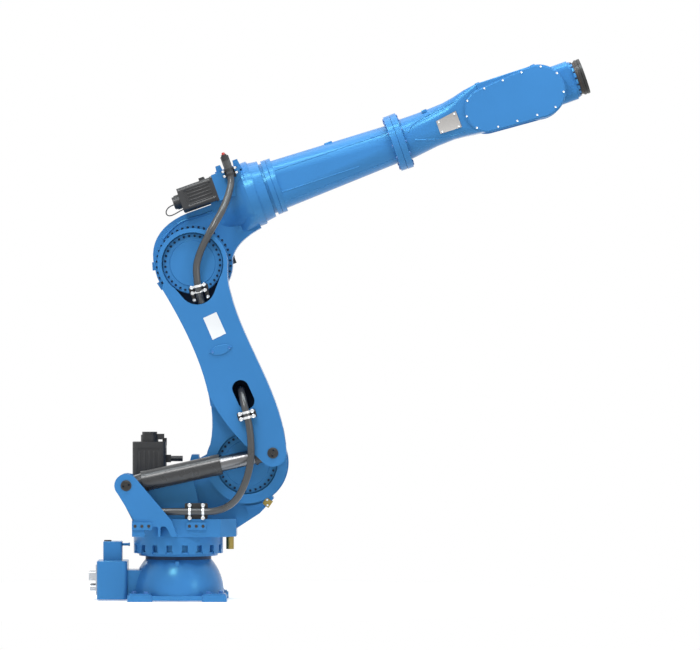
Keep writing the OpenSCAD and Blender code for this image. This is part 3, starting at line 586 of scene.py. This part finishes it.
arm_up = ARM.to_3x3() @ Vector((0, 0, 1))
fore_up = FORE.to_3x3() @ Vector((0, 0, 1))
straps("column_straps", "column",
       [(Vector((x, -0.241, HOSE_Z)), (1, 0, 0), STRAP_DEPTH) for x in (0.066, 0.137)], ZINC, STRAP_SCREW_R)
straps("arm_straps", "lower_arm",
       [(arm_point(0.0698, a, ARM_HOSE_Y), arm_up, STRAP_DEPTH) for a in (0.236, 0.264)], ZINC, STRAP_SCREW_R)
straps("recess_straps", "lower_arm", [(arm_point(-0.0065, ARM_LEN - 0.153, -0.299), arm_up, 0.026),
                                      (arm_point(-0.0037, ARM_LEN - 0.124, -0.3165), arm_up, 0.043)],
       ZINC, RECESS_SCREW_R)
LEG_X = (-0.041, 0.033)
LEG_Y = -0.270
LEG_SIZE = (0.020, 0.006, 0.052)
LEG_ROUND = 0.0015
LEG_A = ARM_LEN - 0.176
LEG_SCREW_A = ARM_LEN - 0.190
piece("recess_legs", merged([block(LEG_SIZE, ARM @ Matrix.Translation((x, LEG_Y, LEG_A)), LEG_ROUND)
                             for x in LEG_X]), "lower_arm", BLACK_PLASTIC)
piece("recess_leg_screws", many(socket_screw(0.0085, 0.007), [
    place(arm_point(x, LEG_SCREW_A, LEG_Y - LEG_SIZE[1] / 2), NEAR) for x in LEG_X]),
    "lower_arm", ZINC)
straps("elbow_strap", "upper_arm",
       [(fore_point(HOSE_MOUNT_U, a, TOP_HOSE_Y), fore_up, STRAP_DEPTH) for a in (0.378, 0.404)],
       BLACK_PLASTIC, ELBOW_SCREW_R)


# Screws and bolts

COVER_SCREW = (0.0062, 0.005)
BACK_SCREW = (0.008, 0.007)
COVER_BOLT_R = 0.145
COVER_BOLTS = 32
RIM_BOLT_R = 0.196
RIM_BOLTS = 42
# Where each ring of bolts starts, in radians
FIRST_BOLT = 0.06
FIRST_RIM_BOLT = 0.05
FRONT_PIN = (0.1504, 0.0206)
RECESS = (-0.004, ARM_LEN - 0.138)
DRUM_BACK_Y = 0.120


def cover_bolts(name, hub, y, gap_at, gap_r):
    """The screws round a hub cover, left out where a pin or a recess takes their place."""
    ring = circle_of(ARM, hub, COVER_BOLT_R, COVER_BOLTS, y, NEAR, FIRST_BOLT)
    kept = [s for s in ring if (s.translation - arm_point(*gap_at, y)).length > gap_r]
    piece(name, many(socket_screw(*COVER_SCREW), kept), "lower_arm", DARK_SCREW)


def back_bolts(name, base, radius, count, body):
    """The screws on the far side of a drum."""
    ring = circle_of(base, (0.0, 0.0), radius, count, DRUM_BACK_Y, FAR, FIRST_BOLT)
    piece(name, many(socket_screw(*BACK_SCREW), ring), body, DARK_SCREW)


cover_bolts("shoulder_cover_bolts", (0.0, 0.0), SHOULDER_COVER_Y, FRONT_PIN, 0.062)
cover_bolts("elbow_cover_bolts", (0.0, ARM_LEN), ELBOW_COVER_Y, RECESS, 0.060)
piece("elbow_rim_bolts", many(socket_screw(*COVER_SCREW),
      circle_of(FORE, (0.0, 0.0), RIM_BOLT_R, RIM_BOLTS, ELBOW_CASTING_Y, NEAR, FIRST_RIM_BOLT)),
      "upper_arm", DARK_SCREW)
back_bolts("shoulder_back_bolts", ARM, 0.180, 24, "column")
back_bolts("elbow_back_bolts", FORE, 0.165, 20, "upper_arm")

EGG_SCREWS = [(2.085, 0.367), (2.154, 0.305), (2.155, 0.200), (2.087, 0.138), (1.982, 0.131), (1.872, 0.137),
              (1.766, 0.141), (1.658, 0.174), (1.628, 0.249), (1.658, 0.326), (1.765, 0.358), (1.871, 0.365),
              (1.979, 0.372)]
piece("wrist_cover_screws", many(flat_screw(0.0060, 0.003),
      side_places(FORE, EGG_SCREWS, -EGG_Y, NEAR) + side_places(FORE, EGG_SCREWS, EGG_Y, FAR)),
      "forearm", ZINC)
TUBE_FLANGE_U = (1.208, 1.277)
FLANGE_BOLT_R = 0.134
FLANGE_BOLTS = 12
FIRST_FLANGE_BOLT = 0.1
piece("flange_bolts", many(socket_screw(*BACK_SCREW), [
    spot for u, facing in zip(TUBE_FLANGE_U, (-1, 1))
    for spot in around_axis(u, FLANGE_BOLT_R, FLANGE_BOLTS, facing, FIRST_FLANGE_BOLT)]),
    "forearm", BLUE_SCREW)
PAD_BOLTS = [(sx * x, sy * y) for x, y in ((0.230, 0.165), (0.165, 0.230))
             for sx in (-1, 1) for sy in (-1, 1)]
piece("pad_bolts", many(hex_bolt(0.0130, 0.009), [place(Vector((x, y, PAD_TOP)), UP) for x, y in PAD_BOLTS]),
      "base", BLUE_SCREW)
LENS_T = 0.006
piece("lens_screws", many(flat_screw(0.007, 0.004),
      side_places(ARM, [(-0.018, 0.618), (0.072, 0.618)], ARM_FRONT - LENS_T, NEAR)),
      "lower_arm", BLUE_SCREW)


# Pin ends and the shoulder's plug

PIN_END_Y = -0.305
PIN_SCREW_SEAT = 0.0018


def pin_cap(name, centre, body, hole):
    """The turned end of a balancer pin with two small screws."""
    spot = place(centre, NEAR)
    middle = -0.002 if hole else 0.003
    profile = [(0.0, middle), (0.007, middle), (0.008, 0.002), (0.022, 0.002), (0.024, 0.0), (0.024, -0.002)]
    piece(name, turned_part(profile, spot), body, DARK_STEEL)
    across = Vector((0.003, 0, 0.015)) if hole else Vector((0.015, 0, 0.004))
    piece(name + "_screws", many(socket_screw(0.0046, 0.003),
          [place(centre + NEAR * PIN_SCREW_SEAT + across * s, NEAR) for s in (-1, 1)]),
          body, SLOT_SHADE)


pin_cap("rear_pin_cap", Vector((-0.267, PIN_END_Y, 0.616)), "column", False)
pin_cap("front_pin_cap", arm_point(*FRONT_PIN, PIN_END_Y), "lower_arm", True)
PLUG = [(0.0, 0.004), (0.010, 0.004), (0.013, 0.003), (0.016, 0.0), (0.016, -0.001)]
piece("shoulder_plug", turned_part(PLUG, place(arm_point(-0.036, -0.090, -0.121), NEAR)), "lower_arm",
      DARK_STEEL)


# Blank plates

PLATE_BORDER = 0.005
PLATE_SINK = 0.3


def plate(name, corners, base, thick, body, material):
    """A thin plate over four corners, each [x, z, y] in a frame's side view, with a raised border."""
    bm = bmesh.new()
    face = bm.faces.new([bm.verts.new(base @ Vector((x, y, z))) for x, z, y in corners])
    rim = bmesh.ops.extrude_face_region(bm, geom=[face])
    bmesh.ops.translate(bm, verts=[v for v in rim["geom"] if isinstance(v, bmesh.types.BMVert)],
                        vec=NEAR * thick)
    top = next(f for f in rim["geom"] if isinstance(f, bmesh.types.BMFace))
    bmesh.ops.inset_region(bm, faces=[top], thickness=PLATE_BORDER)
    bmesh.ops.translate(bm, verts=top.verts, vec=NEAR * -thick * PLATE_SINK)
    piece(name, bm, body, material)


plate("blank_panel", [(-0.002, 0.679, ARM_FRONT), (0.075, 0.694, ARM_FRONT), (0.055, 0.816, ARM_FRONT),
                      (-0.020, 0.803, ARM_FRONT)], ARM, 0.0015, "lower_arm", PLATE_WHITE)
DATA_PLATE = [(1.466, 0.209, -0.1125), (1.584, 0.205, -0.1250),
              (1.583, 0.296, -0.1250), (1.466, 0.280, -0.1125)]
DATA_PLATE_T = 0.004
SCREW_INSET = 0.22


def data_plate():
    """A blank plate on the wrist casting, held by four screws."""
    plate("wrist_plate", DATA_PLATE, FORE, DATA_PLATE_T, "forearm", PLATE_GREY)
    corners = [FORE @ Vector((x, y, z)) for x, z, y in DATA_PLATE]
    middle = sum(corners, Vector()) / len(corners)
    facing = (corners[1] - corners[0]).cross(corners[3] - corners[0]).normalized()
    facing = facing if facing.y < 0 else -facing
    spots = [place(p.lerp(middle, SCREW_INSET) + NEAR * DATA_PLATE_T, facing) for p in corners]
    piece("wrist_plate_screws", many(flat_screw(0.006, 0.003), spots), "forearm", ZINC)


data_plate()


# Dark sheets in the slot and pocket as painted shade, and small fittings

ROUND_SIDES = 48
FLAT_TURN = 0.01
# Thickness of the dark sheets that paint shade on the slot and pocket floors
SHADE_SHEET_T = 0.001


def stadium(ends, spot, thick):
    """A flat plate with two round ends, each [x, z, radius]."""
    bm = bmesh.new()
    for x, z, radius in ends:
        for height in (0.0, thick):
            bmesh.ops.create_circle(bm, cap_ends=False, segments=ROUND_SIDES, radius=radius,
                                    matrix=Matrix.Translation((x, z, height)))
    hull = bmesh.ops.convex_hull(bm, input=bm.verts)
    loose = set(hull["geom_interior"] + hull["geom_unused"])
    bmesh.ops.delete(bm, geom=[v for v in loose if isinstance(v, bmesh.types.BMVert)], context="VERTS")
    bmesh.ops.dissolve_limit(bm, angle_limit=FLAT_TURN, verts=bm.verts, edges=bm.edges)
    bmesh.ops.transform(bm, matrix=spot, verts=bm.verts)
    return bm


def side_plane(base, y):
    """A frame's side view as x across, y up, z towards the viewer."""
    return base @ Matrix(((1, 0, 0, 0), (0, 0, -1, y), (0, 1, 0, 0), (0, 0, 0, 1)))


slot_plane = side_plane(ARM, SLOT_FLOOR_Y)
SLOT_ENDS = [(0.074, 0.394, 0.0435), (0.086, 0.322, 0.0435)]
POCKET_ENDS = [(0.0, ARM_LEN - 0.030, 0.1445), (-0.008, ARM_LEN - 0.124, 0.0955)]
# Thin dark sheets on the slot and pocket floors: painted shade of the deep slot and pocket
piece("slot_painted_shade", stadium(SLOT_ENDS, slot_plane, SHADE_SHEET_T), "lower_arm", SLOT_SHADE)
piece("pocket_painted_shade", stadium(POCKET_ENDS, slot_plane, SHADE_SHEET_T),
      "lower_arm", BEARING_SHADE)
HOLE_BLOCKS = [(-0.183, 0.402, -0.312), (0.102, 0.400, -0.252)]
HOLE_STEPS = (-0.036, 0.0, 0.036)
hole_places = [place(Vector((x + dx, y, z)), NEAR) for x, z, y in HOLE_BLOCKS for dx in HOLE_STEPS]
# Black heads set in the blocks' holes: painted shade of the holes
piece("hole_painted_shade", many(socket_screw(0.0085, 0.003), hole_places), "column", BLACK_PLASTIC)
STOP_FACE = Vector((0.475, -0.055, 0.519))
stop_turn = Matrix.Rotation(math.radians(35.0), 4, "Y")
stop_places = [place(STOP_FACE + stop_turn @ Vector((x, 0, z)), NEAR)
               for x, z in ((-0.009, 0.011), (0.009, -0.011))]
piece("stop_screws", many(socket_screw(0.0058, 0.004), stop_places), "column", ZINC)

LUG_SPOTS = [(1.426, 0.352, -0.055, 0.030, 0.018), (1.738, 0.394, -0.105, 0.026, 0.012),
             (2.047, 0.386, -0.105, 0.026, 0.012), (1.737, 0.136, -0.105, 0.026, 0.012),
             (0.888, 0.364, -0.020, 0.045, 0.014)]
LUG_DEPTH = 0.040
LUG_ROUND = 0.004
piece("casting_lugs", merged([block((w, LUG_DEPTH, h), FORE @ Matrix.Translation((u, y, v)), LUG_ROUND)
                              for u, v, y, w, h in LUG_SPOTS]), "forearm", BLUE_PAINT)
RING_SCREW = [(0.0, 0.003), (0.0048, 0.003), (0.0056, 0.002), (0.0058, 0.0)]
RING_SCREWS = 16
RING_R = 0.0905
ring_middle = FORE @ Matrix.Translation((FORE_LEN + 0.211, 0, FORE_LIFT))
ring_places = [ring_middle @ Matrix.Rotation(math.tau * i / RING_SCREWS, 4, "X")
               @ Matrix.Translation((0, 0, RING_R)) for i in range(RING_SCREWS)]
piece("wrist_ring_screws", merged([turned_part(RING_SCREW, spot, 14) for spot in ring_places]),
      "wrist", DARK_SCREW)
FLANGE_U = FORE_LEN + 0.262
piece("flange_seal", turned_part([(0.083, -0.0360), (0.0905, -0.0360), (0.0905, -0.0310), (0.083, -0.0310)],
      FORE @ Matrix.Translation((FLANGE_U, 0, FORE_LIFT)) @ Matrix.Rotation(math.pi / 2, 4, "Y"), 64),
      "tool", SEAL_BROWN)
piece("hose_tip", turned_part([(0.0, 0.012), (0.006, 0.011), (0.009, 0.007), (0.010, 0.0), (0.010, -0.002)],
      place(fore_point(HOSE_MOUNT_U, 0.4897, TOP_HOSE_Y), fore_up)), "upper_arm", SIGNAL_RED)


# The drive housing's neck, faired smoothly into the elbow casting

NECK_SIDES = 52
NECK_STEPS = 28
NECK_U = (0.192, 0.408)
NECK_HALF = (0.0545, 0.1745)
NECK_TOP = (0.100, 0.1745)
NECK_LOW = (0.138, 0.1745)
NECK_CORNER = (0.90, 0.965)
NECK_SHARP = 50.0


def neck_ring(bm, u, half, top, low, radius):
    """One ring across the forearm: a circle pulled apart into a rounded rectangle."""
    ring = bmesh.ops.create_circle(bm, cap_ends=False, segments=NECK_SIDES, radius=radius)["verts"]
    for corner in ring:
        corner.co.x += math.copysign(half - radius, corner.co.x)
        corner.co.y += math.copysign((top + low) / 2 - radius, corner.co.y)
    across = Matrix(((0, 0, 1, u), (1, 0, 0, 0), (0, 1, 0, FORE_LIFT + (top - low) / 2), (0, 0, 0, 1)))
    bmesh.ops.transform(bm, matrix=FORE @ across, verts=ring)
    return list({e for v in ring for e in v.link_edges})


def neck():
    """Rings from the elbow casting, swelling to the forearm's rear rings."""
    bm = bmesh.new()
    rings = []
    for i in range(NECK_STEPS + 1):
        t = i / NECK_STEPS
        swell = t * t * (3 - 2 * t)
        u, half, top, low, corner = (a + (b - a) * k for (a, b), k in (
            (NECK_U, t), (NECK_HALF, swell), (NECK_TOP, t), (NECK_LOW, t), (NECK_CORNER, t)))
        rings.append(neck_ring(bm, u, half, top, low, half * corner))
    for back, front in zip(rings, rings[1:]):
        bmesh.ops.bridge_loops(bm, edges=back + front)
    for end in (rings[0], rings[-1]):
        bmesh.ops.edgeloop_fill(bm, edges=end)
    return bm


piece("elbow_neck", neck(), "upper_arm", BLUE_PAINT, smooth=NECK_SHARP)


# Casting ridges along the forearm tube

TUBE_U = (0.567, 1.208)
TUBE_R = (0.132, 0.105)
TUBE_FLAT = 0.044
TUBE_FLAT_END = 0.001
TUBE_FLAT_FADE = 1.5
RIDGE_R = 0.0035
RIDGE_SUNK = 0.0012
RIDGE_STEPS = 12


def tube_side(u, rise):
    """How far the tube's side stands out at a height above its axis; squarer at the back."""
    t = (u - TUBE_U[0]) / (TUBE_U[1] - TUBE_U[0])
    radius = TUBE_R[0] + (TUBE_R[1] - TUBE_R[0]) * t
    flat = TUBE_FLAT_END + TUBE_FLAT * (1 - t) ** TUBE_FLAT_FADE
    over = max(0.0, abs(rise) - flat)
    return flat + math.sqrt((radius - flat) ** 2 - over ** 2)


def ridge(name, start, end, side):
    """A low ridge between two [u, rise] points on one side of the tube."""
    route = []
    for i in range(RIDGE_STEPS + 1):
        u, rise = (a + (b - a) * i / RIDGE_STEPS for a, b in zip(start, end))
        route.append(fore_point(u, FORE_LIFT + rise, side * (tube_side(u, rise) - RIDGE_SUNK)))
    return swept(name, route, RIDGE_R)


RIDGES = [((0.570, 0.074), (1.205, 0.064)), ((0.570, -0.047), (1.000, -0.055)),
          ((0.570, -0.100), (1.205, -0.080))]
piece("tube_ridges", merged([ridge("tube_ridge", start, end, side)
                             for start, end in RIDGES for side in (-1, 1)]),
      "forearm", BLUE_PAINT)


# Raised lines on the wrist root, laid on its sides

ROOT_RIDGES = [[(1.309, 0.276), (1.335, 0.298), (1.409, 0.320),
                (1.468, 0.328), (1.526, 0.334), (1.590, 0.346)],
               [(1.328, 0.224), (1.374, 0.208), (1.420, 0.195),
                (1.470, 0.186), (1.518, 0.179), (1.590, 0.176)]]
ROOT_RIDGE_R = 0.006
ROOT_RIDGE_SUNK = 0.003


def on_wrist_root(u, v, side):
    """The point a little under the wrist root's skin, seen from one side."""
    found, spot, _, _ = frame["nodes"]["wrist_root"].ray_cast(
        fore_point(u, v, side), FAR * -side, depsgraph=bpy.context.evaluated_depsgraph_get())
    assert found, (u, v, side)
    return spot - FAR * side * ROOT_RIDGE_SUNK


piece("root_ridges", merged([swept("root_ridge", [on_wrist_root(u, v, side) for u, v in line], ROOT_RIDGE_R)
                             for line in ROOT_RIDGES for side in (-1, 1)]),
      "forearm", BLUE_PAINT)


# The raised lip of the elbow casting

LIP_ROUTE = [(-0.110, 0.178), (-0.043, 0.215), (0.008, 0.231), (0.065, 0.233), (0.130, 0.228), (0.185, 0.229)]
LIP_R = 0.007
LIP_Y = ELBOW_CASTING_Y + 0.002
piece("elbow_lip", swept("elbow_lip", [fore_point(u, v, LIP_Y) for u, v in LIP_ROUTE], LIP_R),
      "upper_arm", BLUE_PAINT)


# Cooling ribs and the lead of the near forearm motor

RIB_ROUND = 0.0025


def ribs(name, base, body, half, along, across, size):
    """Long ribs on the near face of a motor; half is the motor's half width."""
    rows = [base @ Matrix.Translation((x, -half, along)) for x in across]
    piece(name, merged([block(size, spot, RIB_ROUND) for spot in rows]), body, DARK_PAINT)


MOTOR_FRAME = Matrix.Translation((-0.156, 0.082, 0.486))
ribs("swivel_motor_ribs", MOTOR_FRAME, "column", 0.085, 0.170, (-0.052, -0.026, 0.0, 0.026, 0.052),
     (0.010, 0.006, 0.270))
DRIVE_FRAME = FORE @ Matrix.Translation((0.245, -0.072, 0.338)) @ Matrix.Rotation(-math.pi / 2, 4, "Y")
ribs("drive_motor_ribs", DRIVE_FRAME, "upper_arm", 0.061, 0.090, (-0.036, -0.018, 0.0, 0.018, 0.036),
     (0.008, 0.006, 0.130))
LEAD_ROUTE = [(0.007, 0.330), (-0.012, 0.329), (-0.032, 0.322), (-0.045, 0.309), (-0.047, 0.295),
              (-0.038, 0.284), (-0.020, 0.281), (0.005, 0.284), (0.028, 0.288), (0.047, 0.290)]
LEAD_POINTS = 17
LEAD_FINE = 41
LEAD_Y = -0.072
LEAD_R = 0.003


def even_points(route, count):
    """Points at equal steps on the smooth line through a route, to a tenth of a millimetre."""
    knots = [Vector(p) for p in route]
    knots = [2 * knots[0] - knots[1], *knots, 2 * knots[-1] - knots[-2]]
    fine = []
    for before, a, b, after in zip(knots, knots[1:], knots[2:], knots[3:]):
        fine += interpolate_bezier(a, a + (b - before) / 6, b - (after - a) / 6, b, LEAD_FINE)
    run = np.cumsum([0.0] + [(b - a).length for a, b in zip(fine, fine[1:])])
    steps = np.linspace(0.0, run[-1], count)
    return [(round(float(np.interp(s, run, [p.x for p in fine])), 4),
             round(float(np.interp(s, run, [p.y for p in fine])), 4)) for s in steps]


lead_line = [fore_point(u, v, LEAD_Y) for u, v in even_points(LEAD_ROUTE, LEAD_POINTS)]
lead = smooth_line("motor_lead", lead_line, LEAD_R)
lead.data.materials.append(BLACK_PLASTIC)
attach(lead, "upper_arm")


# Floor, light and background

FLOOR_SIZE = 60.0
FLOOR_DROP = 0.0005
FLOOR_COLOUR = (0.90, 0.90, 0.90, 1.0)
FLOOR_ROUGH = 0.9
FLOOR_GLOW = 0.42
FADE_FROM, FADE_TO = 0.8, 2.4
SKY_COLOUR = (0.86, 0.93, 1.0, 1.0)
SKY_FROM, SKY_TO = -0.1, 0.9
SKY_LOW, SKY_HIGH = 0.11, 0.75


def fade(nodes, start, end, low, high):
    """A node that eases from low to high as its value goes from start to end."""
    ease = nodes.new("ShaderNodeMapRange")
    ease.interpolation_type = "SMOOTHSTEP"
    for socket, value in (("From Min", start), ("From Max", end), ("To Min", low), ("To Max", high)):
        ease.inputs[socket].default_value = value
    return ease


def floor_finish():
    """A pale floor that takes the shadow near the arm and turns plain white further out."""
    mat = bpy.data.materials.new("pale_floor")
    mat.use_nodes = True
    nodes, links = mat.node_tree.nodes, mat.node_tree.links
    shader = nodes["Principled BSDF"]
    shader.inputs["Base Color"].default_value = FLOOR_COLOUR
    shader.inputs["Roughness"].default_value = FLOOR_ROUGH
    shader.inputs["Emission Color"].default_value = WHITE + (1.0,)
    shader.inputs["Emission Strength"].default_value = FLOOR_GLOW
    white = nodes.new("ShaderNodeEmission")
    coords = nodes.new("ShaderNodeTexCoord")
    distance = nodes.new("ShaderNodeVectorMath")
    distance.operation = "LENGTH"
    links.new(coords.outputs["Object"], distance.inputs[0])
    ease = fade(nodes, FADE_FROM, FADE_TO, 0.0, 1.0)
    links.new(distance.outputs["Value"], ease.inputs["Value"])
    mix = nodes.new("ShaderNodeMixShader")
    links.new(ease.outputs["Result"], mix.inputs["Fac"])
    links.new(shader.outputs[0], mix.inputs[1])
    links.new(white.outputs[0], mix.inputs[2])
    links.new(mix.outputs[0], nodes["Material Output"].inputs["Surface"])
    return mat


floor_mesh = bpy.data.meshes.new("floor")
floor_bm = bmesh.new()
bmesh.ops.create_grid(floor_bm, x_segments=1, y_segments=1, size=FLOOR_SIZE)
bmesh.ops.translate(floor_bm, verts=floor_bm.verts, vec=(0, 0, -FLOOR_DROP))
floor_bm.to_mesh(floor_mesh)
floor_bm.free()
floor = bpy.data.objects.new("floor", floor_mesh)
bpy.context.scene.collection.objects.link(floor)
floor_mesh.materials.append(floor_finish())


def larger(tree, first, second):
    """A node that gives the larger of two values."""
    node = tree.nodes.new("ShaderNodeMath")
    node.operation = "MAXIMUM"
    tree.links.new(first, node.inputs[0])
    tree.links.new(second, node.inputs[1])
    return node.outputs[0]


def studio_sky():
    """Light that is dim at eye level and bright overhead; camera, glass and gloss see plain white."""
    world = bpy.data.worlds.new("studio")
    world.use_nodes = True
    tree = world.node_tree
    nodes, links = tree.nodes, tree.links
    sky = nodes["Background"]
    sky.inputs["Color"].default_value = SKY_COLOUR
    coords = nodes.new("ShaderNodeTexCoord")
    parts = nodes.new("ShaderNodeSeparateXYZ")
    links.new(coords.outputs["Generated"], parts.inputs[0])
    ease = fade(nodes, SKY_FROM, SKY_TO, SKY_LOW, SKY_HIGH)
    links.new(parts.outputs["Z"], ease.inputs["Value"])
    links.new(ease.outputs["Result"], sky.inputs["Strength"])
    white = nodes.new("ShaderNodeBackground")
    white.inputs["Color"].default_value = WHITE + (1.0,)
    rays = nodes.new("ShaderNodeLightPath").outputs
    straight = larger(tree, rays["Is Camera Ray"], rays["Is Transmission Ray"])
    choose = nodes.new("ShaderNodeMixShader")
    links.new(larger(tree, straight, rays["Is Glossy Ray"]), choose.inputs["Fac"])
    links.new(sky.outputs[0], choose.inputs[1])
    links.new(white.outputs[0], choose.inputs[2])
    links.new(choose.outputs[0], nodes["World Output"].inputs["Surface"])
    return world


bpy.context.scene.world = studio_sky()

LAMP_AIM = Vector((0.7, -0.1, 1.5))


def softbox(name, spot, width, height, power, tint=WHITE):
    """A rectangular lamp that faces the arm."""
    lamp = bpy.data.lights.new(name, "AREA")
    lamp.shape = "RECTANGLE"
    lamp.size = width
    lamp.size_y = height
    lamp.energy = power
    lamp.color = tint
    obj = bpy.data.objects.new(name, lamp)
    obj.location = spot
    obj.rotation_euler = (LAMP_AIM - Vector(spot)).to_track_quat("-Z", "Y").to_euler()
    bpy.context.scene.collection.objects.link(obj)


softbox("key_light", (-1.5, -5.0, 6.0), 1.8, 1.8, 195.0)
softbox("fill_light", (5.0, -5.0, 2.5), 1.4, 1.4, 45.0)
softbox("top_light", (0.8, 1.0, 7.0), 4.0, 4.0, 65.0)
softbox("back_light", (-3.0, 5.0, 4.0), 3.0, 3.0, 90.0)
softbox("strip_light", (0.9, -1.5, 6.0), 7.0, 0.9, 215.0, (0.86, 0.96, 1.0))

bpy.context.scene.view_settings.view_transform = "Standard"
